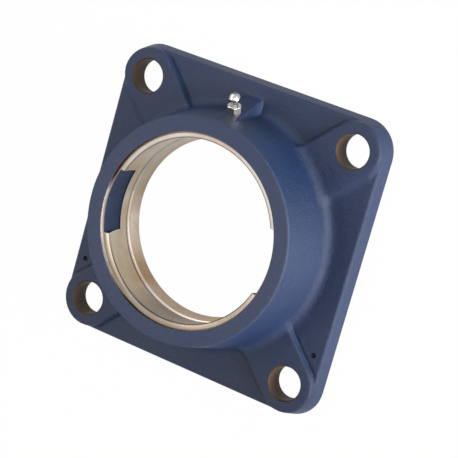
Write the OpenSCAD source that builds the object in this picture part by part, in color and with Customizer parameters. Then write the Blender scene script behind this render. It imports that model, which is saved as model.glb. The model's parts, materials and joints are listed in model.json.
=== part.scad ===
// Four-bolt square flange housing for a spherical-outside bearing insert.
// The mounting face lies on z = 0, the bore axis is +Z, and the grease nipple is on the +Y side.

/* [Flange] */
// Side of the square flange, measured at the mounting face
flange_w = 130; // [127:0.5:140]
// Thickness of the flange between the corner pads
web_t = 6.9; // [6.5:0.1:9]
// Height of the four corner pads above the mounting face
pad_h = 9.2; // [9:0.1:16]
// Draft of the flange's cast sides, in degrees
flange_draft = 11; // [4:0.5:14]
// Radius of the round along the flange's upper edges
flange_edge_r = 1.2; // [0.6:0.1:1.8]

/* [Bolt holes] */
// Distance between neighbouring bolt holes
bolt_spacing = 102; // [99:0.5:104]
// Diameter of the bolt holes
bolt_hole_d = 14.5; // [11:0.25:15.5]
// Depth of the small chamfer at the top of each bolt hole
bolt_hole_chamfer = 0.5; // [0.2:0.1:0.8]

/* [Hub] */
// Height of the hub's front face above the mounting face
hub_h = 34.5; // [34:0.5:42]
// Thickness of the hub's wall round the seat, measured at the front face before its edge is rounded
hub_wall = 7.9; // [6.5:0.1:9]
// Draft of the hub's side, in degrees
hub_draft = 8; // [5:0.5:10]
// Radius of the round along the hub's front edge
hub_edge_r = 1.4; // [0.6:0.1:2]
// Radius of the fillet between the hub and the flange
hub_fillet_r = 3; // [2:0.5:5]

/* [Bearing seat] */
// Diameter of the spherical seat
seat_d = 80; // [79:0.25:80.5]
// Height of the centre of the spherical seat
seat_centre_h = 21.5; // [20.5:0.25:22]
// How far the seat runs in front of its centre
seat_front = 10.7; // [9:0.1:11]
// How far the seat runs behind its centre
seat_rear = 12.7; // [11:0.1:13.5]
// How far the machined mouth in the front face lies outside the seat, all round
mouth_over = 1.2; // [1:0.05:2]
// Depth of the mouth's straight wall below the front face
mouth_wall = 1.2; // [0.6:0.1:1.4]
// Width of the flat step between the mouth's wall and the bevel that leads to the seat
mouth_step = 0.3; // [0.1:0.05:0.5]
// How far the recess in the mounting face lies outside the seat, all round
recess_over = 4; // [2.5:0.25:5]

/* [Loading slots] */
// Width of each loading slot at its floor
slot_w = 26.4; // [22:0.2:30]
// How far the slots' outer walls lie outside the seat
slot_over = 0.4; // [0.3:0.05:0.8]
// How far the slots' floor lies behind the seat's centre
slot_floor_drop = 0.8; // [0:0.1:2]
// Draft of the slots' side walls, in degrees
slot_draft = 3.5; // [1:0.5:6]

/* [Grease groove] */
// How far the groove lies behind the seat's centre
groove_drop = 6.2; // [5:0.1:7.5]
// Width of the groove
groove_w = 1.6; // [1:0.1:2.4]
// Depth of the groove below the seat
groove_depth = 0.9; // [0.5:0.1:1.4]
// Width of the groove's floor, next to its steep front wall
groove_floor_w = 0.5; // [0.3:0.1:0.8]

/* [Grease boss] */
// Lean of the nipple towards the nose, in degrees from the flange's plane
boss_lean = 25; // [20:1:30]
// Distance along the nipple's axis from the seat to the boss's face
boss_reach = 13.2; // [12.8:0.1:14.5]
// Width of the boss's flat face
boss_face_w = 8.4; // [7.6:0.2:10]
// Draft of the boss's flanks, in degrees
boss_draft = 6; // [4:1:12]
// Radius of the round along the boss's face
boss_edge_r = 0.8; // [0.4:0.1:1.2]
// Depth of the boss below its face, enough to root it in the hub
boss_depth = 8; // [7:0.5:9]

/* [Locating dimples] */
// Distance of each locating dimple from the bore's centre, sideways
dimple_x = 58.9; // [58:0.1:59.5]
// Distance of each locating dimple below the bore's centre
dimple_y = 35.5; // [28:0.5:36.5]
// Diameter of each dimple at the surface
dimple_d = 2.4; // [1.6:0.1:3]
// Depth of each dimple
dimple_depth = 0.8; // [0.4:0.1:1.2]
// Diameter of the flat at the bottom of each dimple
dimple_flat_d = 0.2; // [0.1:0.1:0.6]

/* [Grease nipple] */
// Diameter of the nipple's thread
thread_d = 5; // [4:0.1:5.2]
// Length of the nipple's threaded shank
shank_l = 5.5; // [4.5:0.1:6]
// Chamfer at the end of the shank
shank_chamfer = 0.5; // [0.3:0.1:0.8]
// How much deeper than the shank the hole is tapped
tapped_extra = 1; // [0.5:0.25:2]
// Width of the hexagon across its flats
hex_af = 5.6; // [5.4:0.1:6.6]
// Height of the hexagon
hex_h = 3.3; // [2.6:0.1:3.5]
// Diameter of the neck under the head
neck_d = 3.1; // [3:0.05:3.4]
// Diameter of the head where it is widest
head_d = 5.1; // [4.4:0.1:6.5]
// Height of the widening cone under it, which a grease coupler's jaws grip
head_cone_h = 1.6; // [1.3:0.1:1.8]
// Height of the head's widest band
head_band_h = 0.6; // [0.4:0.1:0.9]
// Diameter of the flat at the head's tip
tip_d = 2; // [1.9:0.05:2.4]
// Height of the tip above the boss's face
nipple_h = 8.7; // [8.5:0.1:9.2]
// Height of the head, from its tip to where it meets the neck
head_h = 4.5; // [4.2:0.1:4.7]
// Diameter of the grease passage through the shank
passage_d = 1.4; // [1:0.1:1.8]
// Diameter of the drilling from the tapped hole to the groove
drill_d = 2.1; // [1.5:0.1:3]

/* [Check valve] */
// Diameter of the check ball
ball_d = 2; // [1.9:0.05:2.1]
// Diameter of the hole in the tip that the ball closes
tip_hole_d = 1.6; // [1.4:0.05:1.7]
// Thickness of the crimped lip that keeps the ball in
lip_t = 0.5; // [0.3:0.05:0.7]
// Diameter of the chamber behind the lip
chamber_d = 2.3; // [2.2:0.05:2.4]
// Height of the chamber's floor above the boss's face
chamber_floor = 1.2; // [0.8:0.1:1.6]
// Diameter of the spring's wire
wire_d = 0.25; // [0.2:0.01:0.3]
// Number of turns of the spring
spring_turns = 6; // [4:1:8]

/* [Clearances] */
// Gap between the nipple's thread and the wall of its hole
thread_clear = 0.05; // [0.02:0.01:0.1]
// Gap between the ball and the lip it closes against
ball_clear = 0.02; // [0.01:0.01:0.05]
// Gap around the spring, and at each of its ends
spring_clear = 0.04; // [0.02:0.01:0.08]

/* [Hidden] */
$fn = 96;
// Overlap that keeps cutters from ending flush with a face
over = 1;
// Steps in each rounded edge of a profile
arc_steps = 4;
// Steps of the dome on the nipple's head
dome_steps = 8;
// The corners of the flange are round about the bolt holes
corner_r = (flange_w - bolt_spacing) / 2;
bolt_diagonal = bolt_spacing / sqrt(2);
seat_r = seat_d / 2;
hub_nose_r = seat_r + hub_wall;
mouth_r = seat_r + mouth_over;
seat_front_h = seat_centre_h + seat_front;
seat_rear_h = seat_centre_h - seat_rear;
seat_front_r = sqrt(pow(seat_r, 2) - pow(seat_front, 2));
mouth_floor_h = hub_h - mouth_wall;
slot_floor_h = seat_centre_h - slot_floor_drop;
groove_h = seat_centre_h - groove_drop;
groove_r = sqrt(pow(seat_r, 2) - pow(groove_drop, 2));
// Where the nipple's axis meets the boss's face, in the plane x = 0
boss_y = groove_r + boss_reach * cos(boss_lean);
boss_z = groove_h + boss_reach * sin(boss_lean);
// How far the boss runs from the nipple back into the flange, and forward into the hub
boss_back = (boss_z - web_t / 2) / cos(boss_lean);
boss_front = boss_depth;
tapped_depth = shank_l + tapped_extra;
neck_top = nipple_h - head_h;
chamber_top = nipple_h - lip_t;
ball_r = ball_d / 2;
ball_at = chamber_top - sqrt(pow(ball_r + ball_clear, 2) - pow(tip_hole_d / 2, 2));
spring_r = chamber_d / 2 - spring_clear - wire_d / 2;
spring_low = chamber_floor + spring_clear + wire_d / 2;
// The spring's last turn lies where the ball's underside is as wide as the turn
spring_high = ball_at - sqrt(pow(ball_r + wire_d / 2 + spring_clear, 2) - pow(spring_r, 2));

// Points of an arc about [x, y], from angle a to angle b
function arc(x, y, r, a, b, steps = arc_steps) =
    [for (i = [0:steps]) let (t = a + (b - a) * i / steps) [x + r * cos(t), y + r * sin(t)]];

// Right half of a raised shape's section: foot half-width w, height h, drafted side, rounded top edge
function drafted_half(w, h, draft, r) =
    let (run = w - h * tan(draft), inset = r * tan((90 - draft) / 2))
    concat([[0, 0], [w, 0]], arc(run - inset, h - r, r, draft, 90), [[0, h]]);

// Both halves of that section
function drafted_full(w, h, draft, r) =
    let (half = drafted_half(w, h, draft, r), n = len(half))
    concat([for (i = [1:n - 2]) half[i]], [for (i = [n - 2:-1:1]) [-half[i][0], half[i][1]]]);

// Straight bar of the section, lying along X and centred on it
module drafted_bar(length, w, h, draft, r) {
    rotate([90, 0, 90])
        linear_extrude(length, center = true)
            polygon(drafted_full(w, h, draft, r));
}

// Turned piece of the same section
module drafted_round(w, h, draft, r) {
    rotate_extrude()
        polygon(drafted_half(w, h, draft, r));
}

// Places a child at each bolt hole, with +X pointing outwards along the diagonal
module at_bolts() {
    for (turn = [45:90:315])
        rotate([0, 0, turn])
            translate([bolt_diagonal, 0, 0])
                children();
}

// Square plate with drafted sides
module flange_plate() {
    for (turn = [0, 90])
        rotate([0, 0, turn])
            drafted_bar(bolt_spacing, flange_w / 2, web_t, flange_draft, flange_edge_r);
}

// Raised pads that run from the hub to the corners, round about the bolt holes
module corner_pads() {
    at_bolts() {
        drafted_round(corner_r, pad_h, flange_draft, flange_edge_r);
        translate([-bolt_diagonal / 2, 0, 0])
            drafted_bar(bolt_diagonal, corner_r, pad_h, flange_draft, flange_edge_r);
    }
}

// Hub: a drafted, turned boss with a round front edge and a fillet at its foot
module hub() {
    side_r = hub_nose_r + (hub_h - web_t) * tan(hub_draft);
    round_x = hub_nose_r - hub_edge_r * tan((90 - hub_draft) / 2);
    fillet_x = side_r + hub_fillet_r * tan((90 - hub_draft) / 2);
    fillet_z = web_t + hub_fillet_r;
    rotate_extrude()
        polygon(concat(
            [[0, 0], [fillet_x, 0]],
            arc(fillet_x, fillet_z, hub_fillet_r, 270, 180 + hub_draft),
            arc(round_x, hub_h - hub_edge_r, hub_edge_r, hub_draft, 90),
            [[0, hub_h]]));
}

// Everything that follows the nipple: +Z runs out along its axis from the boss's face, +Y to the flange
module on_boss() {
    translate([0, boss_y, boss_z])
        rotate([boss_lean - 90, 0, 0])
            children();
}

// Wedge-shaped boss with a flat face for the nipple
module grease_boss() {
    foot = boss_face_w / 2 + boss_depth * tan(boss_draft);
    on_boss()
        translate([0, (boss_back - boss_front) / 2, -boss_depth])
            rotate([0, 0, 90])
                drafted_bar(boss_back + boss_front, foot, boss_depth, boss_draft, boss_edge_r);
}

// Spherical seat, its bevelled mouth and the recess behind it
module bore_cut() {
    bevel_r = mouth_r - mouth_step;
    intersection() {
        translate([0, 0, seat_centre_h])
            sphere(r = seat_r);
        translate([0, 0, seat_rear_h])
            cylinder(h = seat_front + seat_rear, r = seat_r + over);
    }
    translate([0, 0, seat_front_h])
        cylinder(h = mouth_floor_h - seat_front_h, r1 = seat_front_r, r2 = bevel_r);
    translate([0, 0, mouth_floor_h])
        cylinder(h = mouth_wall + over, r = mouth_r);
    translate([0, 0, -over])
        cylinder(h = seat_rear_h + over, r = seat_r + recess_over);
}

// Ring cut into the seat, which spreads the grease round the bearing; its rear wall slopes
module groove_cut() {
    floor_r = groove_r + groove_depth;
    low = groove_h - groove_w / 2;
    high = groove_h + groove_w / 2;
    rotate_extrude()
        polygon([
            [groove_r - over, low],
            [groove_r, low],
            [floor_r, high - groove_floor_w],
            [floor_r, high],
            [groove_r - over, high]]);
}

// Two slots on the sides, through which the bearing is put in edgeways
module slot_cuts() {
    depth = hub_h - slot_floor_h + over;
    half = slot_w / 2;
    flare = depth * tan(slot_draft);
    wall_r = seat_r + slot_over;
    translate([0, 0, slot_floor_h])
        intersection() {
            cylinder(h = depth, r = wall_r);
            rotate([90, 0, 90])
                linear_extrude(2 * (wall_r + over), center = true)
                    polygon([[-half, 0], [half, 0], [half + flare, depth], [-half - flare, depth]]);
        }
}

// Bolt hole with a small chamfer at the top of its pad
module bolt_hole_cut() {
    translate([0, 0, -over])
        cylinder(h = pad_h + 2 * over, d = bolt_hole_d);
    translate([0, 0, pad_h - bolt_hole_chamfer])
        cylinder(h = bolt_hole_chamfer + over,
                 r1 = bolt_hole_d / 2, r2 = bolt_hole_d / 2 + bolt_hole_chamfer + over);
}

// Tapped hole for the nipple, and the drilling from it to the groove
module grease_hole_cut() {
    on_boss() {
        translate([0, 0, -tapped_depth])
            cylinder(h = tapped_depth + over, d = thread_d);
        translate([0, 0, -boss_reach - over])
            cylinder(h = boss_reach, d = drill_d);
    }
}

// Conical dimples that locate the casting for dowels
module dimple_cuts() {
    for (side = [-1, 1])
        translate([side * dimple_x, -dimple_y, web_t - dimple_depth])
            cylinder(h = dimple_depth + over, r1 = dimple_flat_d / 2,
                     r2 = dimple_d / 2 + (dimple_d - dimple_flat_d) / 2 * over / dimple_depth);
}

// One iron casting: flange, pads, hub and boss, with its machined bore
module housing() {
    color([0.22, 0.26, 0.42])
        difference() {
            union() {
                flange_plate();
                corner_pads();
                hub();
                grease_boss();
            }
            bore_cut();
            groove_cut();
            slot_cuts();
            at_bolts() bolt_hole_cut();
            grease_hole_cut();
            dimple_cuts();
        }
}

// Hexagon with its upper corners turned off
module nipple_hex() {
    corner_r_hex = hex_af / 2 / cos(30);
    bevel = corner_r_hex - hex_af / 2;
    intersection() {
        cylinder(h = hex_h, r = corner_r_hex, $fn = 6);
        rotate_extrude()
            polygon([[0, 0], [corner_r_hex + over, 0], [corner_r_hex + over, hex_h - bevel - over * tan(30)],
                     [hex_af / 2, hex_h - bevel * (1 - tan(30))], [hex_af / 2 - bevel, hex_h], [0, hex_h]]);
    }
}

// Turned body: shank, neck and the waisted head that a grease coupler grips
module nipple_turning() {
    shank_r = thread_d / 2 - thread_clear;
    band_low = neck_top + head_cone_h;
    band_high = band_low + head_band_h;
    tip_angle = acos(tip_d / head_d);
    dome_h = (nipple_h - band_high) / sin(tip_angle);
    dome = [for (i = [0:dome_steps])
        let (t = tip_angle * i / dome_steps) [head_d / 2 * cos(t), band_high + dome_h * sin(t)]];
    rotate_extrude()
        polygon(concat([
            [0, -shank_l],
            [shank_r - shank_chamfer, -shank_l],
            [shank_r, -shank_l + shank_chamfer],
            [shank_r, 0],
            [neck_d / 2, 0],
            [neck_d / 2, neck_top],
            [head_d / 2, band_low]],
            dome,
            [[0, nipple_h]]));
}

// Grease nipple, hollow for its check valve
module grease_nipple() {
    color([0.78, 0.77, 0.74])
        on_boss()
            difference() {
                union() {
                    nipple_hex();
                    nipple_turning();
                }
                translate([0, 0, -shank_l - over])
                    cylinder(h = shank_l + chamber_floor + 2 * over, d = passage_d, $fn = 32);
                translate([0, 0, chamber_floor])
                    cylinder(h = chamber_top - chamber_floor, d = chamber_d, $fn = 32);
                translate([0, 0, chamber_top - over / 2])
                    cylinder(h = lip_t + over, d = tip_hole_d, $fn = 32);
            }
}

// Closed tube of the given radius swept along a list of points
module swept_wire(points, r, sides) {
    n = len(points);
    tangents = [for (i = [0:n - 1]) points[min(i + 1, n - 1)] - points[max(i - 1, 0)]];
    rings = [for (i = [0:n - 1])
        let (t = tangents[i] / norm(tangents[i]),
             u = cross(t, [0, 0, 1]) / norm(cross(t, [0, 0, 1])),
             v = cross(u, t))
        [for (k = [0:sides - 1]) points[i] + r * (u * cos(360 * k / sides) + v * sin(360 * k / sides))]];
    walls = [for (i = [0:n - 2], k = [0:sides - 1])
        let (a = i * sides + k, b = i * sides + (k + 1) % sides)
        [a, b, b + sides, a + sides]];
    polyhedron(
        points = [for (ring = rings) each ring],
        faces = concat([[for (k = [sides - 1:-1:0]) k]], walls,
                       [[for (k = [0:sides - 1]) (n - 1) * sides + k]]),
        convexity = 8);
}

// Coil spring that holds the ball against the lip
module nipple_spring() {
    steps = spring_turns * 12;
    color([0.6, 0.6, 0.62])
        on_boss()
            swept_wire([for (i = [0:steps])
                [spring_r * cos(30 * i), spring_r * sin(30 * i),
                 spring_low + (spring_high - spring_low) * i / steps]], wire_d / 2, 6);
}

// Check ball in the nipple's tip
module nipple_ball() {
    color([0.55, 0.55, 0.57])
        on_boss()
            translate([0, 0, ball_at])
                sphere(r = ball_r, $fn = 32);
}

housing();
grease_nipple();
nipple_spring();
nipple_ball();
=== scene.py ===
# %% [markdown]
# # A flanged bearing housing, from numbers to a picture
# The object is a square iron casting with a hub in the middle. Four bolts hold it to a machine, and a
# bearing with a round outside sits in its bore. The casting is painted blue, the bore is turned bare.
# The frame holds the exact CAD model. This file gives it the soft edges, the paint and the light.

# %% The tools and the frame
import json

import bpy
import numpy as np
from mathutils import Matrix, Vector


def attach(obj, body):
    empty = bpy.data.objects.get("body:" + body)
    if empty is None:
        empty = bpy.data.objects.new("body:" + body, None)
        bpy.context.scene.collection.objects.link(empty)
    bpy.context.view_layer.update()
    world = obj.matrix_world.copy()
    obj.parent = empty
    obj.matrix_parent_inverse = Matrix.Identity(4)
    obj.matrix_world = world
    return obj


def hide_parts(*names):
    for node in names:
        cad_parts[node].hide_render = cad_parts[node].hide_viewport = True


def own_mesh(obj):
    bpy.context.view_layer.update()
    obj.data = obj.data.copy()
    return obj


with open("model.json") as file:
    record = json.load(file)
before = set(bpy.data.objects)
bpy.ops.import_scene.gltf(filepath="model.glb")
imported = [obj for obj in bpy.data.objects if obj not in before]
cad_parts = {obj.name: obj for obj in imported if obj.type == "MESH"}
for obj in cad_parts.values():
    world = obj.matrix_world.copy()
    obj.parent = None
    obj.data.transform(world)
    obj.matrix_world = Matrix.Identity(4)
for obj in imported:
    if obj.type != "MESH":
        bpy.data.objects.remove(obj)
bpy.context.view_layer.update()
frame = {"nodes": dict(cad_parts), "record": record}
MM = 0.001

# %% [markdown]
# ## The camera
# A photograph with a long lens shows parallel edges nearly parallel. The place of the camera was worked
# out from the four bolt holes and the bore's edges, whose true places are known from the CAD model. It
# looks at the hub from the front, 29 degrees off the bore's axis, and is turned about its own axis.

# %% Camera
camera_data = bpy.data.cameras.new("camera")
camera = bpy.data.objects.new("camera", camera_data)
bpy.context.scene.collection.objects.link(camera)
camera_data.sensor_width = 36.0
camera_data.lens = 151.73
camera.location = (0.36312, 0.17526, 0.71821)
camera.rotation_euler = np.radians([-4.0245, 28.9668, 17.6815])
camera_data.clip_start, camera_data.clip_end = 0.05, 50.0
bpy.context.scene.camera = camera
print("camera stands", round(camera.location.length, 3), "m from the middle of the mounting face")

# %% [markdown]
# ## Sizes
# These are the sizes of the CAD model, in millimetres, measured from the mounting face and the bore's
# axis. The casting's skin below is built from them, so that it lies on the CAD solid everywhere but at
# the edges, where a real casting is rounded and filleted.

# %% Sizes of the casting
FLANGE_HALF, BOLT, CORNER = 65.0, 51.0, 14.0
WEB_TOP, PAD_TOP, HUB_TOP = 6.9, 9.2, 34.5
SIDE_DRAFT, HUB_DRAFT = np.radians(11.0), np.radians(8.0)
HUB_R, MOUTH_R, SEAT_R, SEAT_Z = 47.9, 41.2, 40.0, 21.5
MOUTH_FLOOR, SEAT_FRONT, SEAT_REAR = 33.3, 32.2, 8.8
GROOVE_Z, GROOVE_HALF, GROOVE_DEPTH = 15.3, 0.8, 0.9
GROOVE_R = np.sqrt(SEAT_R**2 - (SEAT_Z - GROOVE_Z)**2) + GROOVE_DEPTH
RECESS_R, SLOT_FLOOR, SLOT_HALF, SLOT_R = 44.0, 20.7, 13.2, 40.4
SEAT_EDGE_R, REAR_R, RECESS_ROOF = 39.7, 41.0, 4.0
WEB_ROUND, PAD_ROUND, BOSS_ROUND = 1.3, 1.2, 0.9
HUB_FILLET, BOSS_FILLET, FOOT_R = 4.2, 1.2, 56.0
PAD_LEAN, PAD_LEAN_RUN = np.radians(24.0), 9.0
CREASE_DEPTH, CREASE_HALF = 0.4, 0.5
LEAN = np.radians(25.0)
BOSS_OUT = np.array([0.0, np.cos(LEAN), np.sin(LEAN)])
BOSS_REACH = 13.2
BOSS_AT = np.array([0.0, GROOVE_R - GROOVE_DEPTH, GROOVE_Z]) + BOSS_REACH * BOSS_OUT
BOSS_HALF, BOSS_DRAFT, BOSS_BAND = 4.2, np.radians(6.0), 9.0
print("flange", 2 * FLANGE_HALF, "mm square,", HUB_TOP, "mm high, seat", 2 * SEAT_R, "mm")

# %% [markdown]
# ## Soft unions
# Where two cast walls meet, sand and molten iron leave a fillet. Each body of the casting is written as
# a number that is positive inside it and falls to zero at its surface. The larger of two such numbers is
# their union, the smaller one is their overlap. If the two are close, adding or taking off a little
# makes the edge round: that is all a fillet is here.


# %% Soft smaller and soft larger
def soft_min(a, b, k):
    """min(a, b) - k h^2 / 4, with h = 1 - |a - b| / k where that is positive: rounds an outer edge."""
    h = np.clip(1 - np.abs(a - b) / k, 0, 1)
    return np.minimum(a, b) - k * h * h / 4


def soft_max(a, b, k):
    """The same for a union: it fills the corner where two bodies meet."""
    return -soft_min(-a, -b, k)


print("a fillet of size 4 fills", float(soft_max(0.0, 0.0, 4.0)), "mm of the corner")


# %% The casting's outer form
def outline_depth(x, y):
    """How far a point lies inside the flange's outline at the mounting face: a square with round corners."""
    qx, qy = np.abs(x) - BOLT, np.abs(y) - BOLT
    return CORNER - np.hypot(np.maximum(qx, 0), np.maximum(qy, 0)) - np.minimum(np.maximum(qx, qy), 0)


def casting(x, y, z):
    """Positive inside the casting's outer form: plate, four pads, hub and grease boss in soft union."""
    depth = outline_depth(x, y)
    plate = soft_min((depth - z * np.tan(SIDE_DRAFT)) * np.cos(SIDE_DRAFT), WEB_TOP - z, WEB_ROUND)
    # pads: "along" runs out to the corner, "across" runs sideways; the upper two lean more on one side
    along, across = (np.abs(x) + np.abs(y)) / np.sqrt(2), (np.abs(y) - np.abs(x)) / np.sqrt(2)
    bolt_along = BOLT * np.sqrt(2)
    pad_depth = CORNER - np.hypot(np.maximum(along - bolt_along, 0), across)
    upper_outside = (across < 0) & (y > 0) & (z > WEB_TOP)
    gentle = np.where(upper_outside, np.clip((bolt_along - along) / PAD_LEAN_RUN + 1, 0, 1), 0)
    lean = SIDE_DRAFT + PAD_LEAN * gentle
    foot = pad_depth - WEB_TOP * np.tan(SIDE_DRAFT)
    pad_side = (foot - (z - WEB_TOP) * np.tan(lean)) * np.cos(lean)
    pad = soft_min(pad_side, PAD_TOP - z, PAD_ROUND + gentle)
    body = soft_max(plate, pad, 0.02 + (0.7 + 1.3 * gentle) * np.clip((depth - 1.8) / 2, 0, 1))
    # hub: a cone with a sharper edge on the left than on the right
    cone = (HUB_R + (HUB_TOP - z) * np.tan(HUB_DRAFT) - np.hypot(x, y)) * np.cos(HUB_DRAFT)
    hub = soft_min(cone, HUB_TOP - z, 0.25 + 0.75 * np.clip(x / 40, 0, 1))
    # boss: a wedge behind its own face
    behind = -((y - BOSS_AT[1]) * BOSS_OUT[1] + (z - BOSS_AT[2]) * BOSS_OUT[2])
    flank = (BOSS_HALF + behind * np.tan(BOSS_DRAFT) - np.abs(x)) * np.cos(BOSS_DRAFT)
    boss = soft_min(np.minimum(behind, y), flank, BOSS_ROUND)
    return soft_max(soft_max(body, hub, HUB_FILLET), boss, BOSS_FILLET)


print("just inside the hub's top the form is", round(float(casting(45.0, 0.0, HUB_TOP - 0.5)), 2), "mm deep")


# %% Height of the outer form, and its creases
def casting_top(x, y):
    """Height of the outer form over (x, y), found by halving, because the form only narrows upwards."""
    low, high = np.zeros_like(x), np.full_like(x, HUB_TOP)
    for _ in range(34):
        middle = (low + high) / 2
        inside = casting(x, y, middle) > 0
        low, high = np.where(inside, middle, low), np.where(inside, high, middle)
    return np.minimum((low + high) / 2, HUB_TOP)


def crease(x, y):
    """A fine line at the foot of the pads: a bell curve across, CREASE_DEPTH deep, faded at its ends. The two
    upper pads (y > 0) have it on the side with |y| > |x| alone, the two lower ones on both sides."""
    across = (np.abs(y) - np.abs(x)) / np.sqrt(2)
    across = np.where(y < 0, np.abs(across), across)
    foot = CORNER - WEB_TOP * np.tan(SIDE_DRAFT) + 0.1
    inside = np.clip((outline_depth(x, y) - 2.4) / 2, 0, 1) * np.clip((np.hypot(x, y) - 54) / 3, 0, 1)
    return CREASE_DEPTH * inside * np.exp(-((across - foot) / CREASE_HALF)**2)


web_height = casting_top(np.array([0.0]), np.array([-61.0]))[0]
print("height of the casting on the lower web:", round(float(web_height), 2), "mm")

# %% [markdown]
# ## The grid of the skin
# The skin is one closed surface with two parameters. The first one runs round the bore. Its lines leave
# the hub in fans: they run side by side over each pad and over the grease boss, so that an edge there
# follows a line, and spread out over the plain webs in between. The second one runs from the bore's
# mouth over the hub, down to the flange's rim, back under it and up through the bore.


# %% Lines that run from the hub's foot to the flange's rim
def fan_lines():
    """Start points on the circle of radius FOOT_R and end points on the rim, right round, both (n, 2)."""
    pad_edge = np.linspace(10.6, 15.6, 19)
    across = np.concatenate([-pad_edge[::-1], np.linspace(-10, 10, 12), pad_edge])
    side = np.where(np.abs(across) < CORNER / np.sqrt(2),
                    BOLT * np.sqrt(2) + np.sqrt(np.maximum(CORNER**2 - across**2, 0)),
                    FLANGE_HALF * np.sqrt(2) - np.abs(across))
    starts, ends = [], []
    for quarter in range(4):
        turn = np.radians(45 + 90 * quarter)
        out, left = np.array([np.cos(turn), np.sin(turn)]), np.array([-np.sin(turn), np.cos(turn)])
        starts.append(np.sqrt(FOOT_R**2 - across**2)[:, None] * out + across[:, None] * left)
        ends.append(side[:, None] * out + across[:, None] * left)
        a0, a1 = starts[-1][-1], ends[-1][-1]
        turn += np.pi / 4
        out, left = np.array([np.cos(turn), np.sin(turn)]), np.array([-np.sin(turn), np.cos(turn)])
        lim0, lim1 = abs(a0 @ left), abs(a1 @ left)
        if quarter == 0:  # the side with the boss: lines run straight and close together over it
            near = np.linspace(-BOSS_BAND, BOSS_BAND, 73)
            far = np.linspace(BOSS_BAND, lim0, 10)[1:-1]
            t0 = np.concatenate([-far[::-1], near, far])
            share = (np.abs(t0) - BOSS_BAND) / (lim0 - BOSS_BAND)
            spread = np.sign(t0) * (BOSS_BAND + share * (lim1 - BOSS_BAND))
            t1 = np.where(np.abs(t0) <= BOSS_BAND, t0, spread)
        else:
            t0 = lim0 * np.linspace(-1, 1, 28)[1:-1]
            t1 = lim1 * np.linspace(-1, 1, 28)[1:-1]
        starts.append(np.sqrt(FOOT_R**2 - t0**2)[:, None] * out + t0[:, None] * left)
        ends.append(np.full(len(t0), FLANGE_HALF)[:, None] * out + t1[:, None] * left)
    return np.concatenate(starts), np.concatenate(ends)


print("lines round the bore:", len(fan_lines()[0]))


# %% Underside and bore, as a profile that goes round
def bore_profile():
    """(radius, height) from the mounting face up to the mouth: recess, seat with its groove, and bevel. The
    seat is a sphere, so its radius at a height z is the root of SEAT_R^2 - (z - SEAT_Z)^2."""
    arc = lambda a, b, n: [(np.sqrt(SEAT_R**2 - (z - SEAT_Z)**2), z) for z in np.linspace(a, b, n)]
    bore = [(RECESS_R, 0.0), (RECESS_R, RECESS_ROOF), (RECESS_R, SEAT_REAR), (REAR_R, SEAT_REAR)]
    bore += arc(SEAT_REAR, GROOVE_Z - GROOVE_HALF, 7)
    bore += [(GROOVE_R - 0.35, GROOVE_Z - 0.5), (GROOVE_R, GROOVE_Z + 0.3),
             (GROOVE_R, GROOVE_Z + GROOVE_HALF)]
    bore += arc(GROOVE_Z + GROOVE_HALF, SEAT_FRONT, 18)
    bore += [(SEAT_EDGE_R, SEAT_FRONT + 0.55), (MOUTH_R - 0.3, MOUTH_FLOOR), (MOUTH_R, MOUTH_FLOOR),
             (MOUTH_R, 34.0)]
    return np.array(bore)


print("rows up the bore:", len(bore_profile()))


# %% The skin's points
def skin_points():
    """Points of the whole skin as an (n, m, 3) array in millimetres: n lines round, m rows along each."""
    start, end = fan_lines()
    unit = start / np.linalg.norm(start, axis=1)[:, None]
    run = end - start
    run /= np.linalg.norm(run, axis=1)[:, None]
    # the rim's outward direction at each end, from the outline's own slope
    step = 1e-4
    x, y = end.T
    slope = np.stack([outline_depth(x - step, y) - outline_depth(x + step, y),
                      outline_depth(x, y - step) - outline_depth(x, y + step)], 1)
    outward = slope / np.linalg.norm(slope, axis=1)[:, None]
    per_depth = 1 / (run * outward).sum(1)
    rim = np.array([4.4, 3.9, 3.5, 3.2, 2.95, 2.7, 2.5, 2.3, 2.1, 1.9, 1.7, 1.5, 1.3, 1.1, 0.8, 0.4, 0.0])
    nose = np.array([MOUTH_R, 42.5, 44, 45.2, 45.9, 46.2, 46.45, 46.65, 46.85, 47.05, 47.25, 47.45,
                     47.62, 47.78, HUB_R])
    wall = HUB_R + (HUB_TOP - np.linspace(33.5, 11, 26)) * np.tan(HUB_DRAFT)
    foot = np.linspace(wall[-1], FOOT_R, 14)[1:-1]
    radii = np.concatenate([nose, wall, foot])
    rings = unit[:, None, :] * radii[None, :, None]
    last = end - run * (rim[0] * per_depth)[:, None]
    t = np.linspace(0, 1, 25)[:-1]
    plate = start[:, None, :] * (1 - t)[None, :, None] + last[:, None, :] * t[None, :, None]
    edge = end[:, None, :] - run[:, None, :] * (per_depth[:, None] * rim[None, :])[:, :, None]
    top = np.concatenate([rings, plate, edge], 1)
    height = casting_top(top[..., 0], top[..., 1])
    height -= crease(top[..., 0], top[..., 1])
    height[:, 0] = HUB_TOP
    height[:, -1] = 0.0
    top = np.concatenate([top, height[..., None]], 2)
    # underside and bore, on the same lines
    bore = bore_profile()
    inner = np.concatenate([unit[:, None, :] * bore[None, :, :1],
                            np.broadcast_to(bore[None, :, 1:], (len(unit), len(bore), 1))], 2)
    under = np.concatenate([(end * 0.5 + unit * RECESS_R * 0.5), np.zeros((len(end), 1))], 1)[:, None, :]
    return np.concatenate([top, under, inner], 1), top.shape[1]


points, top_rows = skin_points()
print("skin:", points.shape, "lines by rows by xyz")


# %% From points to an object
def new_mesh(name, verts, faces):
    """A mesh from points in millimetres and faces."""
    mesh = bpy.data.meshes.new(name)
    mesh.from_pydata((verts * MM).tolist(), [], faces)
    mesh.update()
    return mesh


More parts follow.
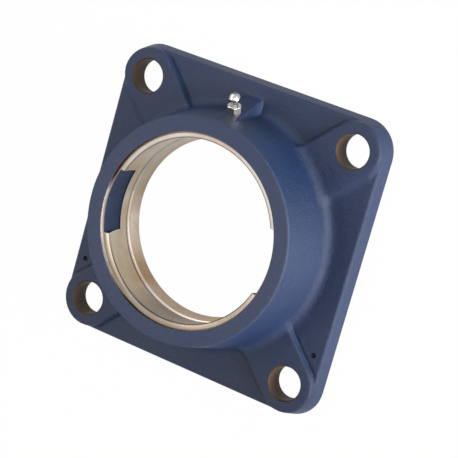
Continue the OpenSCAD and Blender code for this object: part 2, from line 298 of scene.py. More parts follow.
def closed_grid(name, points):
    """A mesh of quads from an (n, m, 3) array of points, in which both parameters close on themselves."""
    n, m = points.shape[:2]
    i, j = np.meshgrid(np.arange(n), np.arange(m), indexing="ij")
    k = lambda a, b: (a % n) * m + b % m
    quads = np.stack([k(i, j), k(i, j + 1), k(i + 1, j + 1), k(i + 1, j)], -1).reshape(-1, 4)
    return new_mesh(name, points.reshape(-1, 3), quads.tolist())


def new_object(name, mesh):
    """Links a mesh to the scene as an object at the origin."""
    obj = bpy.data.objects.new(name, mesh)
    bpy.context.scene.collection.objects.link(obj)
    return obj


skin = new_object("casting_skin", closed_grid("casting_skin", points))
print(skin.name, "has", len(skin.data.polygons), "faces before it is cut")

# %% [markdown]
# ## Node groups that several finishes share
# Cast grain, mottled colour and turning marks are needed by more than one finish, so each is a group.
# A group only puts out heights, masks and colours; the shader stays in the material.


# %% Small helpers for node trees
def add(tree, kind, inputs=None, **settings):
    """Adds a node, sets its options and inputs. An input may be a value or another node's socket."""
    node = tree.nodes.new(kind)
    for key, value in settings.items():
        setattr(node, key, value)
    for key, value in (inputs or {}).items():
        if isinstance(value, bpy.types.NodeSocket):
            tree.links.new(value, node.inputs[key])
        else:
            node.inputs[key].default_value = value
    return node


def math(tree, operation, a, b=0.0):
    """One sum, product or comparison of two sockets or numbers."""
    return add(tree, "ShaderNodeMath", {0: a, 1: b}, operation=operation).outputs[0]


def times(tree, first, *others):
    """The product of several masks, which is on only where all of them are."""
    for other in others:
        first = math(tree, "MULTIPLY", first, other)
    return first


def mask(tree, value, start, end, full=1.0):
    """0 at the start and full at the end, straight in between; the start may be the larger of the two."""
    return add(tree, "ShaderNodeMapRange", {"Value": value, "From Min": start, "From Max": end,
                                            "To Max": full}).outputs[0]


def new_group(name, inputs, outputs):
    """An empty shader node group with named sockets, and its input and output nodes."""
    group = bpy.data.node_groups.new(name, "ShaderNodeTree")
    for label, kind, value in inputs:
        socket = group.interface.new_socket(label, in_out="INPUT", socket_type=kind)
        if value is not None:
            socket.default_value = value
    for label, kind in outputs:
        group.interface.new_socket(label, in_out="OUTPUT", socket_type=kind)
    return group, group.nodes.new("NodeGroupInput").outputs, group.nodes.new("NodeGroupOutput")


# %% Group: cast grain
def make_cast_grain():
    """Height = fine sand grain + soft waves of the mould; Mottle = slow light and dark patches, 0 to 1."""
    group, given, result = new_group(
        "Cast grain",
        [("Grain size", "NodeSocketFloat", 900.0), ("Wave size", "NodeSocketFloat", 90.0)],
        [("Height", "NodeSocketFloat"), ("Mottle", "NodeSocketFloat"), ("Grain", "NodeSocketFloat")])
    where = add(group, "ShaderNodeTexCoord").outputs["Object"]
    grain = add(group, "ShaderNodeTexNoise", {"Vector": where, "Scale": given["Grain size"], "Detail": 3.0,
                                              "Roughness": 0.65}).outputs["Fac"]
    waves = add(group, "ShaderNodeTexNoise", {"Vector": where, "Scale": given["Wave size"], "Detail": 3.0,
                                              "Roughness": 0.5}).outputs["Fac"]
    slow = add(group, "ShaderNodeTexNoise", {"Vector": where, "Scale": 34.0, "Detail": 4.0}).outputs["Fac"]
    height = math(group, "ADD", grain, math(group, "MULTIPLY", waves, 0.8))
    group.links.new(height, result.inputs["Height"])
    group.links.new(mask(group, slow, 0.3, 0.7), result.inputs["Mottle"])
    group.links.new(grain, result.inputs["Grain"])
    return group


cast_grain = make_cast_grain()
print("group:", cast_grain.name, "with", len(cast_grain.nodes), "nodes")


# %% Group: turning marks
def make_turning_marks():
    """Fine rings round the +Z axis: noise that changes fast with radius and height and slowly with angle."""
    group, given, result = new_group(
        "Turning marks", [("Pitch", "NodeSocketFloat", 2600.0)],
        [("Rings", "NodeSocketFloat"), ("Stain", "NodeSocketFloat")])
    where = add(group, "ShaderNodeTexCoord").outputs["Object"]
    split = add(group, "ShaderNodeSeparateXYZ", {0: where}).outputs
    flat = add(group, "ShaderNodeCombineXYZ", {0: split[0], 1: split[1]}).outputs[0]
    radius = add(group, "ShaderNodeVectorMath", {0: flat}, operation="LENGTH").outputs["Value"]
    fast_r = math(group, "MULTIPLY", radius, given["Pitch"])
    fast_z = math(group, "MULTIPLY", split[2], given["Pitch"])
    slow_angle = math(group, "MULTIPLY", math(group, "ARCTAN2", split[1], split[0]), 2.0)
    polar = add(group, "ShaderNodeCombineXYZ", {0: fast_r, 1: slow_angle, 2: fast_z}).outputs[0]
    rings = add(group, "ShaderNodeTexNoise", {"Vector": polar, "Scale": 1.0, "Detail": 2.0,
                                              "Roughness": 0.5}).outputs["Fac"]
    stain = add(group, "ShaderNodeTexNoise", {"Vector": where, "Scale": 55.0, "Detail": 5.0,
                                              "Roughness": 0.6}).outputs["Fac"]
    group.links.new(rings, result.inputs["Rings"])
    group.links.new(mask(group, stain, 0.42, 0.72), result.inputs["Stain"])
    return group


turning_marks = make_turning_marks()
print("group:", turning_marks.name, "with", len(turning_marks.nodes), "nodes")


# %% A material with its shader
def new_material(name):
    """A node material; returns it with its tree and its Principled shader."""
    material = bpy.data.materials.new(name)
    material.use_nodes = True
    tree = material.node_tree
    return material, tree, tree.nodes["Principled BSDF"]


def use_group(tree, group, **values):
    """Places a group in a material, with its own values."""
    node = add(tree, "ShaderNodeGroup", node_tree=group)
    for key, value in values.items():
        node.inputs[key.replace("_", " ")].default_value = value
    return node.outputs


def mix_colour(tree, factor, a, b, blend="MIX"):
    """A mix of two colours by a socket or number."""
    node = add(tree, "ShaderNodeMix", data_type="RGBA", blend_type=blend)
    for socket, value in ((node.inputs[0], factor), (node.inputs[6], a), (node.inputs[7], b)):
        if isinstance(value, bpy.types.NodeSocket):
            tree.links.new(value, socket)
        else:
            socket.default_value = value
    return node.outputs[2]


def ramp(tree, factor, stops):
    """Colours against height above the mounting face, in millimetres; the factor is that height / HUB_TOP."""
    node = add(tree, "ShaderNodeValToRGB", {0: factor})
    elements = node.color_ramp.elements
    for height, colour in stops[1:-1]:
        elements.new(height / HUB_TOP).color = (*colour, 1)
    elements[0].color, elements[-1].color = (*stops[0][1], 1), (*stops[-1][1], 1)
    return node.outputs[0]


# %% Masks by the place on the part
def band(tree, distance, start, end, full=1.0):
    """A mask over a distance, with its start and end in millimetres."""
    return mask(tree, distance, start * MM, end * MM, full)


def off_line(tree, distance, line):
    """How far a distance is from a line at that many millimetres, to either side."""
    return math(tree, "ABSOLUTE", math(tree, "ADD", distance, -line * MM))


def place(tree):
    """The point's x, y and height above the mounting face, in metres, as three sockets."""
    where = add(tree, "ShaderNodeTexCoord").outputs["Object"]
    return add(tree, "ShaderNodeSeparateXYZ", {0: where}).outputs


def tinted(tree, where, colour, factors):
    """Multiplies a colour by three factors, for red, green and blue, where a mask is on."""
    return mix_colour(tree, where, colour, (*factors, 1), "MULTIPLY")


# %% The last step of every finish
def join(material, colour, rough, height, strength, depth):
    """Joins a material's shader to a colour, a roughness and a bump. The roughness is one number, or runs
    from the least to the most over a mask. The bump is a share, the strength, of heights up to the depth."""
    tree = material.node_tree
    shader = tree.nodes["Principled BSDF"]
    tree.links.new(colour, shader.inputs["Base Color"])
    if isinstance(rough, tuple):
        value, least, most = rough
        rough = add(tree, "ShaderNodeMapRange", {"Value": value, "To Min": least, "To Max": most}).outputs[0]
        tree.links.new(rough, shader.inputs["Roughness"])
    else:
        shader.inputs["Roughness"].default_value = rough
    bump = add(tree, "ShaderNodeBump", {"Height": height, "Strength": strength, "Distance": depth})
    tree.links.new(bump.outputs[0], shader.inputs["Normal"])
    print("finish:", material.name, "with", len(tree.nodes), "nodes")


# %% [markdown]
# ## Blue enamel
# The paint follows the cast skin: a satin film over fine sand grain. Two close blues are mixed by the
# grain group's mottle, and the grain itself adds darker specks. Where the place on the casting counts,
# masks are made from the Object coordinates, which are metres in the part's own frame. With them light
# and shade are painted into the colour: painted shade makes the hub's flank above and below the middle
# a purer, darker blue, a painted highlight makes it a little lighter in between, painted shade darkens
# the lug and the lower flank and webs, and painted light makes the nose face lighter.

# %% Paint: two blues and darker specks
paint, tree, shader = new_material("blue_enamel")
cast = use_group(tree, cast_grain, Grain_size=1800.0, Wave_size=330.0)
shade = mix_colour(tree, cast["Mottle"], (0.0115, 0.0265, 0.078, 1), (0.0165, 0.036, 0.100, 1))
speck = mask(tree, cast["Grain"], 0.38, 0.62)
shade = mix_colour(tree, speck, (0.0085, 0.021, 0.066, 1), shade)
print(paint.name, "before its place counts:", len(tree.nodes), "nodes")

# %% Paint: painted shade and light by the place on the casting
_, y, height = place(tree)
away = band(tree, math(tree, "ABSOLUTE", y), 24, 38)
raised, below_nose = band(tree, height, 9, 15), band(tree, height, 34.3, 33.5)
flank = times(tree, raised, away)
# painted shade: the hub's flank above and below the middle is made a purer, darker blue
shade = tinted(tree, flank, shade, (0.45, 0.85, 0.98))
lug = times(tree, flank, band(tree, y, 45, 49))
# painted shade: the lug is made darker
shade = tinted(tree, lug, shade, (0.50, 0.60, 0.66))
low = band(tree, y, -30, -55)
# painted shade: darker towards the bottom of the casting
shade = tinted(tree, low, shade, (0.62, 0.74, 0.78))
side = times(tree, raised, below_nose)
low_side = times(tree, side, band(tree, y, -14, -30))
# painted shade: the lower flank is made darker and bluer
shade = tinted(tree, low_side, shade, (0.56, 0.85, 0.97))
middle = times(tree, side, band(tree, y, -20, 0), math(tree, "SUBTRACT", 1.0, away))
# painted highlight: the flank is made lighter in its middle, where the key light falls
shade = tinted(tree, middle, shade, (1.35, 1.24, 1.10))
low_web = times(tree, low, below_nose, band(tree, height, 4.5, 6.5))
# painted shade: the lower webs are made darker
shade = tinted(tree, low_web, shade, (0.62, 0.72, 0.80))
# painted light: the nose face and its rounding are mixed towards a lighter blue
nose_painted_light = band(tree, height, 33.7, 34.4, 0.4)
shade = mix_colour(tree, nose_painted_light, shade, (0.044, 0.062, 0.130, 1))
join(paint, shade, (cast["Mottle"], 0.46, 0.56), cast["Height"], 0.6, 0.6 * MM)
shader.inputs["Specular IOR Level"].default_value = 0.4

# %% [markdown]
# ## Painted shade in the slots and dimples
# The loading slots' walls are a darker, duller blue, which is painted shade in these recesses. In the
# two dimples of the flange, the only such places below 10 mm, this painted shadow is almost black.

# %% Painted shade in the slots and dimples
recess_shade_paint, tree, shader = new_material("painted_recess_shade")
cast = use_group(tree, cast_grain, Grain_size=1500.0, Wave_size=240.0)
shade = mix_colour(tree, cast["Mottle"], (0.0065, 0.0160, 0.045, 1), (0.0105, 0.0250, 0.070, 1))
# painted shadow: below 10 mm, in the dimples, the colour is almost black
deep = math(tree, "LESS_THAN", place(tree)[2], 10 * MM)
shade = mix_colour(tree, deep, shade, (0.0012, 0.0022, 0.008, 1))
join(recess_shade_paint, shade, 0.6, cast["Height"], 0.6, 0.6 * MM)
shader.inputs["Specular IOR Level"].default_value = 0.2

# %% [markdown]
# ## Turned iron in the bore
# The lathe leaves fine rings, and bare iron goes warm and brown in patches. A colour ramp over the
# height above the mounting face gives each turned zone its own shade: the clearance behind the seat,
# the sloping wall of the grease groove, the spherical seat, the mouth's bevel and its outer edge, with
# dark lines of painted shade in the corners between them. Much of it is painted reflection: bright metal
# mirrors its surroundings, which differ round the bore, so there are three such ramps, for the upper and
# the lower half and for the edge on the left, and masks from the place round the bore blend them. Three
# more masks add painted shade at the upper left and at the bottom, and a painted glint in one place
# behind the groove.

# %% Turned metal: three ramps over the height
turned, tree, shader = new_material("turned_iron")
marks = use_group(tree, turning_marks, Pitch=2400.0)
x, y, height = place(tree)
height = mask(tree, height, 0.0, HUB_TOP * MM)
# the ramps' dark stops are painted shade in corners and under edges, their light bands painted reflection
upper = ramp(tree, height, [
    (0.0, (0.42, 0.35, 0.27)), (13.9, (0.52, 0.46, 0.385)), (14.5, (0.47, 0.455, 0.45)),
    (15.7, (0.50, 0.46, 0.42)), (15.9, (0.26, 0.21, 0.17)), (16.3, (0.26, 0.21, 0.17)),
    (16.9, (0.53, 0.475, 0.395)), (31.0, (0.55, 0.485, 0.40)), (31.9, (0.62, 0.57, 0.52)),
    (32.2, (0.24, 0.18, 0.13)), (32.36, (0.24, 0.18, 0.13)), (32.46, (0.72, 0.69, 0.67)),
    (33.0, (0.74, 0.71, 0.69)), (33.2, (0.14, 0.10, 0.07)), (34.5, (0.09, 0.065, 0.045))])
lower = ramp(tree, height, [
    (0.0, (0.38, 0.27, 0.175)), (13.9, (0.43, 0.34, 0.25)), (14.5, (0.74, 0.70, 0.67)),
    (15.6, (0.68, 0.64, 0.60)), (15.8, (0.10, 0.075, 0.05)), (16.5, (0.10, 0.075, 0.05)),
    (17.0, (0.48, 0.42, 0.32)), (30.3, (0.50, 0.44, 0.34)), (31.0, (0.08, 0.055, 0.035)),
    (32.36, (0.08, 0.055, 0.035)), (32.44, (0.42, 0.385, 0.345)), (32.75, (0.38, 0.355, 0.32)),
    (33.1, (0.25, 0.23, 0.20)), (33.3, (0.085, 0.07, 0.045)), (33.9, (0.085, 0.07, 0.045)),
    (34.3, (0.15, 0.15, 0.15)), (34.5, (0.15, 0.15, 0.15))])
edge = ramp(tree, height, [
    (0.0, (0.56, 0.55, 0.51)), (32.3, (0.56, 0.55, 0.51)), (32.55, (0.44, 0.42, 0.38)),
    (32.8, (0.26, 0.245, 0.21)), (33.2, (0.20, 0.18, 0.14)), (33.35, (0.66, 0.65, 0.69)),
    (34.5, (0.66, 0.65, 0.69))])
print("ramps:", [len(r.node.color_ramp.elements) for r in (upper, lower, edge)], "stops")


# %% Turned metal: which ramp counts where
def above(line):
    """1 above a height in millimetres, 0 below it."""
    return math(tree, "GREATER_THAN", height, line / HUB_TOP)


def below(line):
    """The other way round."""
    return math(tree, "LESS_THAN", height, line / HUB_TOP)


left_half = math(tree, "LESS_THAN", x, 0.0)
# painted reflection: the lower half of the bore takes the lower ramp
lower_half = band(tree, y, -8, -26)
zones = mix_colour(tree, lower_half, upper, lower)
top_left = times(tree, band(tree, x, -16, -36), band(tree, y, 0, 4))
# painted shade: darker at the upper left of the bore
zones = tinted(tree, top_left, zones, (0.80, 0.79, 0.76))
bottom = times(tree, band(tree, y, -33, -39), above(16.9))
# painted shade: darker at the bottom of the bore, most of all on the seat below 31 mm
zones = tinted(tree, bottom, zones, (0.80, 0.78, 0.80))
zones = tinted(tree, times(tree, bottom, below(31.0)), zones, (0.54, 0.48, 0.42))
glint = times(tree, band(tree, off_line(tree, y, -15), 12, 6), below(13.9), left_half)
# painted glint: lighter in one place behind the groove, on the left
zones = tinted(tree, glint, zones, (1.32, 1.38, 1.45))
on_left = times(tree, band(tree, off_line(tree, y, -13), 24, 16), above(32.25), left_half)
# painted reflection: the left edge of the mouth takes the edge ramp
zones = mix_colour(tree, on_left, zones, edge)
print(turned.name, "with its zones:", len(tree.nodes), "nodes")

# %% Turned metal: rings and stains
fresh = mix_colour(tree, marks["Rings"], tinted(tree, 1.0, zones, (0.83, 0.80, 0.77)), zones)
stained = tinted(tree, marks["Stain"], fresh, (0.80, 0.68, 0.55))
join(turned, stained, (marks["Rings"], 0.26, 0.42), marks["Rings"], 0.1, 0.1 * MM)
shader.inputs["Metallic"].default_value = 1.0

# %% [markdown]
# ## Drilled walls
# The bolt holes were drilled through the cast iron and never painted, so their walls are brown with
# rust. Two browns are mixed by the grain group's mottle, and the surface is nearly without gloss.

# %% Rusty wall of the bolt holes
rusty, tree, shader = new_material("drilled_wall")
cast = use_group(tree, cast_grain, Grain_size=1500.0, Wave_size=260.0)
brown = mix_colour(tree, cast["Mottle"], (0.029, 0.016, 0.008, 1), (0.085, 0.050, 0.024, 1))
join(rusty, brown, 0.55, cast["Height"], 0.3, 0.5 * MM)
shader.inputs["Specular IOR Level"].default_value = 0.2

# %% [markdown]
# ## Cutting the slots and holes
# The drilled and milled places are cut out of the skin with Boolean modifiers, as a drill or cutter
# would. Each cutter wears a finish, and the cut faces take it over: the slots and dimples take the
# paint that holds their painted shade.


# %% Shapes of the cutters
def turned_grid(name, profile, sides, matrix=None, radius_rule=None):
    """Closed turned shape: each (radius, height) of the profile goes round the axis; ends lie on the axis."""
    profile = np.array(profile, float)
    angle = np.arange(sides)[:, None] * 2 * np.pi / sides
    r, z = (np.broadcast_to(column, (sides, len(profile))) for column in profile.T)
    if radius_rule is not None:
        r = radius_rule(angle, r, z)
    grid = np.stack([r * np.cos(angle), r * np.sin(angle), z], -1)
    if matrix is not None:
        grid = grid @ matrix[:3, :3].T + matrix[:3, 3]
    verts = grid[:, 1:-1].reshape(-1, 3)
    first, last = len(verts), len(verts) + 1
    verts = np.concatenate([verts, grid[0, :1], grid[0, -1:]])
    n, m = sides, len(profile) - 2
    i, j = np.meshgrid(np.arange(n), np.arange(m - 1), indexing="ij")
    k = lambda a, b: (a % n) * m + b
    quads = np.stack([k(i, j), k(i + 1, j), k(i + 1, j + 1), k(i, j + 1)], -1).reshape(-1, 4).tolist()
    i = np.arange(n)
    caps = np.stack([k(i + 1, 0), k(i, 0), np.full(n, first)], 1).tolist()
    caps += np.stack([k(i, m - 1), k(i + 1, m - 1), np.full(n, last)], 1).tolist()
    return new_mesh(name, verts, quads + caps)


SLOT_DRAFT, SLOT_INNER = np.radians(3.5), 30.0
CLEAR = 1.0  # how far a cutter reaches out of the casting


def slot_cutter(side):
    """Block for one loading slot: its outer wall is on the circle of radius SLOT_R, its ends are drafted."""
    z = np.array([SLOT_FLOOR, HUB_TOP + CLEAR])
    half = SLOT_HALF + (z - SLOT_FLOOR) * np.tan(SLOT_DRAFT)
    y = np.linspace(-1, 1, 33)[:, None] * half[None, :]
    outer = np.stack([side * np.sqrt(SLOT_R**2 - y**2), y, np.broadcast_to(z, y.shape)], -1)
    inner = outer.copy()
    inner[..., 0] = side * SLOT_INNER
    ring = np.stack([outer[:, 0], outer[:, 1], inner[:, 1], inner[:, 0]], 1)
    n, m = ring.shape[:2]
    i, j = np.meshgrid(np.arange(n - 1), np.arange(m), indexing="ij")
    k = lambda a, b: a * m + b % m
    quads = np.stack([k(i, j), k(i, j + 1), k(i + 1, j + 1), k(i + 1, j)], -1).reshape(-1, 4)
    faces = [list(range(m))[::-1]] + quads.tolist() + [[(n - 1) * m + b for b in range(m)]]
    faces = [f[::-1] for f in faces] if side > 0 else faces
    return new_mesh("slot_cutter", ring.reshape(-1, 3), faces)


# %% Where the cutters go
def at(x, y, z):
    """Matrix that moves a shape to (x, y, z) without turning it."""
    matrix = np.eye(4)
    matrix[:3, 3] = x, y, z
    return matrix


def along_boss():
    """Matrix whose Z axis runs out of the boss's face along the nipple, as in the CAD model."""
    matrix = np.eye(4)
    matrix[:3, 0] = 1, 0, 0
    matrix[:3, 2] = BOSS_OUT
    matrix[:3, 1] = np.cross(BOSS_OUT, [1, 0, 0])
    matrix[:3, 3] = BOSS_AT
    return matrix


HOLE_R, CHAMFER = 7.25, 0.5
DIMPLE_X, DIMPLE_Y, DIMPLE_FLOOR, DIMPLE_R = 58.9, -35.5, WEB_TOP - 0.8, 2.575
DRILL_R, DRILL_END, TAP_R, TAP_END = 1.05, -14.0, 2.5, -6.5
bolt_profile = [(0, -CLEAR), (HOLE_R, -CLEAR), (HOLE_R, PAD_TOP - CHAMFER),
                (HOLE_R + CHAMFER + CLEAR, PAD_TOP + CLEAR), (0, PAD_TOP + CLEAR)]
dimple_profile = [(0, DIMPLE_FLOOR), (0.1, DIMPLE_FLOOR), (DIMPLE_R, WEB_TOP + CLEAR), (0, WEB_TOP + CLEAR)]
grease_profile = [(0, DRILL_END), (DRILL_R, DRILL_END), (DRILL_R, TAP_END), (TAP_R, TAP_END),
                  (TAP_R, CLEAR), (0, CLEAR)]
# the slots and dimples are cut with the paint that holds their painted shade
cutters = [(slot_cutter(1), recess_shade_paint), (slot_cutter(-1), recess_shade_paint),
           (turned_grid("grease_cutter", grease_profile, 32, along_boss()), turned)]
for sx in (-1, 1):
    for sy in (-1, 1):
        cutters.append((turned_grid("bolt_cutter", bolt_profile, 72, at(sx * BOLT, sy * BOLT, 0)), rusty))
    cutters.append((turned_grid("dimple_cutter", dimple_profile, 24, at(sx * DIMPLE_X, DIMPLE_Y, 0)),
                    recess_shade_paint))
print("cutters:", len(cutters))


# %% Cut them out, and give each face its finish
def cut(obj, cutter_meshes):
    """Subtracts each cutter from obj, then keeps the result as obj's own mesh."""
    made = []
    for mesh, material in cutter_meshes:
        mesh.materials.append(material)
        cutter = new_object("cutter", mesh)
        modifier = obj.modifiers.new("cut", "BOOLEAN")
        modifier.operation, modifier.solver, modifier.object = "DIFFERENCE", "EXACT", cutter
        modifier.material_mode = "TRANSFER"
        made.append(cutter)
    depsgraph = bpy.context.evaluated_depsgraph_get()
    mesh = bpy.data.meshes.new_from_object(obj.evaluated_get(depsgraph))
    obj.modifiers.clear()
    obj.data = mesh
    for cutter in made:
        bpy.data.objects.remove(cutter)
    return mesh


def shade_smooth(mesh, sharp_from):
    """Smooth shading, but for edges that turn by more than an angle in degrees."""
    mesh.polygons.foreach_set("use_smooth", np.ones(len(mesh.polygons), bool))
    mesh.set_sharp_from_angle(angle=np.radians(sharp_from))


skin.data.materials.append(paint)
skin.data.materials.append(turned)
n_lines, n_rows = points.shape[:2]
row_of_face = np.tile(np.arange(n_rows), n_lines)
under_rows, recess_rows = 1, 3  # painted rows between the rim and the turned bore
is_bore = row_of_face >= top_rows + under_rows + recess_rows
skin.data.polygons.foreach_set("material_index", is_bore.astype(np.int32))
mesh = cut(skin, cutters)
shade_smooth(mesh, 32)
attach(skin, "casting")
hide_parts("housing")
print("casting:", len(mesh.polygons), "faces,", [m.name for m in mesh.materials])

# %% [markdown]
# ## Grease nipple
# A small turned part with a hexagon for the spanner, a waist and a round head that a grease gun grips.
# It is one turned surface, in which the hexagon is a rule for the radius: the distance of a flat side
# from the axis, seen at that angle, cut off by the turned bevel. Its zinc plate is a bright metal with a
# little roughness, and a Layer Weight node darkens its colour towards a flat angle: a painted dark rim,
# which stands for a painted reflection.


# %% Nipple
def rounded(profile, radius, steps=4):
    """Rounds the inner corners of a profile: each corner becomes a curve between two points near it."""
    p = np.array(profile, float)
    out = [p[0]]
    for a, b, c in zip(p[:-2], p[1:-1], p[2:]):
        reach = min(radius, 0.45 * np.linalg.norm(b - a), 0.45 * np.linalg.norm(c - b))
        start = b + (a - b) / np.linalg.norm(a - b) * reach
        end = b + (c - b) / np.linalg.norm(c - b) * reach
        t = np.linspace(0, 1, steps + 1)[:, None]
        out.extend((1 - t)**2 * start + 2 * t * (1 - t) * b + t**2 * end)
    return np.array(out + [p[-1]])


def hexagon_radius(flat, height):
    """Radius rule: flat / cos(angle from the nearest side's middle), below the bevel that rounds the top."""
    def rule(angle, r, z):
        side = flat / np.cos(angle % (np.pi / 3) - np.pi / 6)
        bevel = flat - 0.25 + np.minimum(height - z, z + 0.2) / np.tan(np.radians(30))
        return np.where(r > flat, np.minimum(side, bevel), r)
    return rule


HEX_FLAT, HEX_H, NECK, HEAD, NIPPLE_H, SHANK = 2.8, 3.3, 1.55, 2.55, 8.7, 2.45
hex_rows = [(3.4, z) for z in (0.0, 0.1, 0.2, 0.35, 0.6, 1.2, 2.0, 2.7, 2.85, 2.95, 3.05, 3.15, 3.23, HEX_H)]
shank = [(0, -5.5), (2.0, -5.5), (SHANK, -5.0), (SHANK, 0.0)]
outer = shank + hex_rows + [(2.2, HEX_H), (NECK + 0.25, HEX_H)]
dome = [(HEAD * np.cos(t), 6.35 + 2.4 * np.sin(t)) for t in np.radians(np.linspace(0, 66, 10))]
VALVE_R, VALVE_FLOOR = 1.12, 2.0
valve_hole = [(0.85, NIPPLE_H), (0.8, 8.2), (VALVE_R, 8.15), (VALVE_R, VALVE_FLOOR), (0, VALVE_FLOOR)]
neck = [(NECK, HEX_H), (NECK, 4.2), (2.2, 5.25), (2.5, 5.85)]
profile = outer + rounded(neck + dome + valve_hole, 0.2).tolist()
nipple_mesh = turned_grid("nipple_body", profile, 96, along_boss(), hexagon_radius(HEX_FLAT, HEX_H))
nipple = new_object("nipple_body", nipple_mesh)
shade_smooth(nipple_mesh, 24)
print("nipple's profile:", len(profile), "points")

# %% The nipple's zinc plate
zinc, tree, shader = new_material("bright_zinc")
cast = use_group(tree, cast_grain, Grain_size=4200.0, Wave_size=900.0)
facing = add(tree, "ShaderNodeLayerWeight", {"Blend": 0.35}).outputs["Facing"]
plain = mix_colour(tree, cast["Mottle"], (0.48, 0.48, 0.45, 1), (0.60, 0.60, 0.57, 1))
# painted reflection: Layer Weight darkens the zinc's colour towards grazing angles, a dark rim
zinc_with_painted_rim = mix_colour(tree, facing, plain, (0.10, 0.10, 0.08, 1))
join(zinc, zinc_with_painted_rim, (cast["Mottle"], 0.14, 0.24), cast["Height"], 0.08, 0.1 * MM)
shader.inputs["Metallic"].default_value = 1.0
nipple_mesh.materials.append(zinc)
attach(nipple, "casting")
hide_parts("grease_nipple")
print("nipple:", len(nipple_mesh.polygons), "faces")

# %% [markdown]
# ## Check valve
# The ball keeps its CAD shape. The spring's coil is a copy of its CAD mesh, in the same steel as the ball.

# %% Steel of the ball and the spring
steel, tree, shader = new_material("valve_steel")
cast = use_group(tree, cast_grain, Grain_size=5200.0, Wave_size=1500.0)
grey = mix_colour(tree, cast["Mottle"], (0.24, 0.24, 0.25, 1), (0.36, 0.36, 0.37, 1))
tree.links.new(grey, shader.inputs["Base Color"])
shader.inputs["Metallic"].default_value = 1.0
rough = add(tree, "ShaderNodeMapRange", {"Value": cast["Mottle"], "To Min": 0.2, "To Max": 0.3}).outputs[0]
tree.links.new(rough, shader.inputs["Roughness"])
print("steel:", len(tree.nodes), "nodes")

# %% Ball and spring
ball = frame["nodes"]["nipple_ball"]
ball.data.materials.clear()
ball.data.materials.append(steel)
spring = new_object("valve_spring", frame["nodes"]["nipple_spring"].data.copy())
spring.data.materials.clear()
spring.data.materials.append(steel)
coil = np.empty(len(spring.data.vertices) * 3)
spring.data.vertices.foreach_get("co", coil)
coil = coil.reshape(-1, 3)
valve = frame["record"]["behaviour"]["joints"][0]
down = np.array(valve["axis"]) / np.linalg.norm(valve["axis"])
along = coil @ down
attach(spring, "casting")
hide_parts("nipple_spring")
tuple(coil[along.argmax()])
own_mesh(spring)

# %% [markdown]
# ## Floor and light
# The part lies on a plain white floor. The floor and the world look white to the camera and in
# reflections, whatever light falls on them, and the floor still takes a little of the part's shadow.
# It lies 0.1 mm under the mounting face, because two faces in one place speckle through each other,
# and a camera that looks up from below sees through it.
# The key lamp is a large soft one, on the right and low, so that the hub's flank is lit more than its
# face. Four weaker ones fill in: two warm ones from the left and from above, a plain one from the top
# left and a cool one from the top right. Their shares were found by least squares: each lamp was
# rendered alone, and light adds up, so the sum of watts times single pictures was fitted to the shades
# that the painted faces should have.


# %% What is seen as white
def is_seen(tree):
    """1 for the rays that show a surface to the camera, directly, in metal or through glass; 0 for light."""
    path = add(tree, "ShaderNodeLightPath").outputs
    rays = math(tree, "ADD", path["Is Camera Ray"], path["Is Glossy Ray"])
    return add(tree, "ShaderNodeMath", {0: rays, 1: path["Is Transmission Ray"]}, operation="ADD",
               use_clamp=True).outputs[0]


def white_if_seen(tree, lit, share):
    """Shows a share of plain white in place of a lit shader, only where the surface is seen."""
    glow = add(tree, "ShaderNodeEmission", {"Color": (1, 1, 1, 1)}).outputs[0]
    factor = math(tree, "MULTIPLY", is_seen(tree), share)
    return add(tree, "ShaderNodeMixShader", {0: factor, 1: lit, 2: glow}).outputs[0]


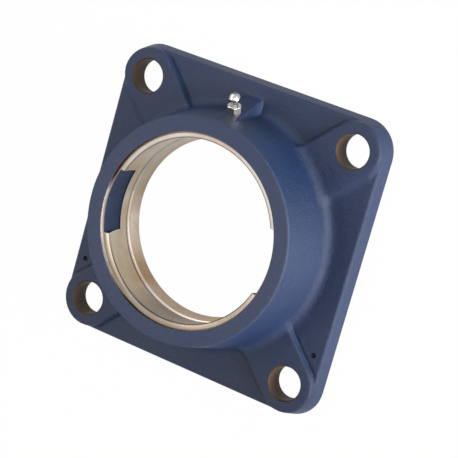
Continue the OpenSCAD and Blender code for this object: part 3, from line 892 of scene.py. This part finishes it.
# %% Floor
FLOOR_HALF, FLOOR_Z, FLOOR_WHITE = 8.0, -0.1 * MM, 0.985
floor_mesh = bpy.data.meshes.new("floor")
floor_mesh.from_pydata([(sx * FLOOR_HALF, sy * FLOOR_HALF, FLOOR_Z)
                        for sx, sy in ((-1, -1), (1, -1), (1, 1), (-1, 1))], [], [(0, 1, 2, 3)])
floor = new_object("floor", floor_mesh)
white, tree, shader = new_material("white_floor")
shader.inputs["Base Color"].default_value = (0.86, 0.86, 0.86, 1)
shader.inputs["Roughness"].default_value = 0.9
surface = white_if_seen(tree, shader.outputs[0], FLOOR_WHITE)
from_below = math(tree, "MULTIPLY", add(tree, "ShaderNodeNewGeometry").outputs["Backfacing"],
                  add(tree, "ShaderNodeLightPath").outputs["Is Camera Ray"])
clear = add(tree, "ShaderNodeBsdfTransparent").outputs[0]
surface = add(tree, "ShaderNodeMixShader", {0: from_below, 1: surface, 2: clear}).outputs[0]
tree.links.new(surface, tree.nodes["Material Output"].inputs["Surface"])
floor_mesh.materials.append(white)
print("floor:", 2 * FLOOR_HALF, "m wide, at", FLOOR_Z, "m")

# %% World
world = bpy.data.worlds.new("studio")
bpy.context.scene.world = world
world.use_nodes = True
tree = world.node_tree
tree.nodes.clear()
dim = add(tree, "ShaderNodeBackground", {"Color": (1, 1, 1, 1), "Strength": 0.0}).outputs[0]
full = add(tree, "ShaderNodeBackground", {"Color": (1, 1, 1, 1), "Strength": 1.0}).outputs[0]
mixed = add(tree, "ShaderNodeMixShader", {0: is_seen(tree), 1: dim, 2: full}).outputs[0]
tree.links.new(mixed, add(tree, "ShaderNodeOutputWorld").inputs["Surface"])
print("world:", len(tree.nodes), "nodes, it sends out no light")


# %% Lamps
LAMP_SIZE, LAMP_TARGET = 0.7, Vector((0, 0, 0.01))


def area_lamp(name, spot, watts, colour):
    """A square soft lamp that looks from its spot to the middle of the part."""
    data = bpy.data.lights.new(name, "AREA")
    data.shape, data.size, data.energy, data.color = "SQUARE", LAMP_SIZE, watts, colour
    lamp = bpy.data.objects.new(name, data)
    bpy.context.scene.collection.objects.link(lamp)
    lamp.location = spot
    lamp.rotation_mode = "QUATERNION"
    lamp.rotation_quaternion = (LAMP_TARGET - Vector(spot)).to_track_quat("-Z", "Y")
    print("lamp:", name, watts, "W")


area_lamp("key_low_right", (1.15, 0.0, 0.1), 41.0, (1.0, 0.93, 0.87))
area_lamp("fill_top_left", (-0.75, 0.7, 0.6), 3.2, (1.0, 1.0, 1.0))
area_lamp("fill_left", (-0.65, -0.1, 1.0), 5.4, (1.0, 0.86, 0.74))
area_lamp("fill_above", (0.6, 0.1, 1.0), 4.6, (1.0, 0.84, 0.66))
area_lamp("fill_top_right", (0.85, 0.8, 0.35), 2.4, (0.4, 0.8, 1.0))
bpy.context.scene.view_settings.view_transform = "Standard"
bpy.context.scene.cycles.caustics_reflective = False
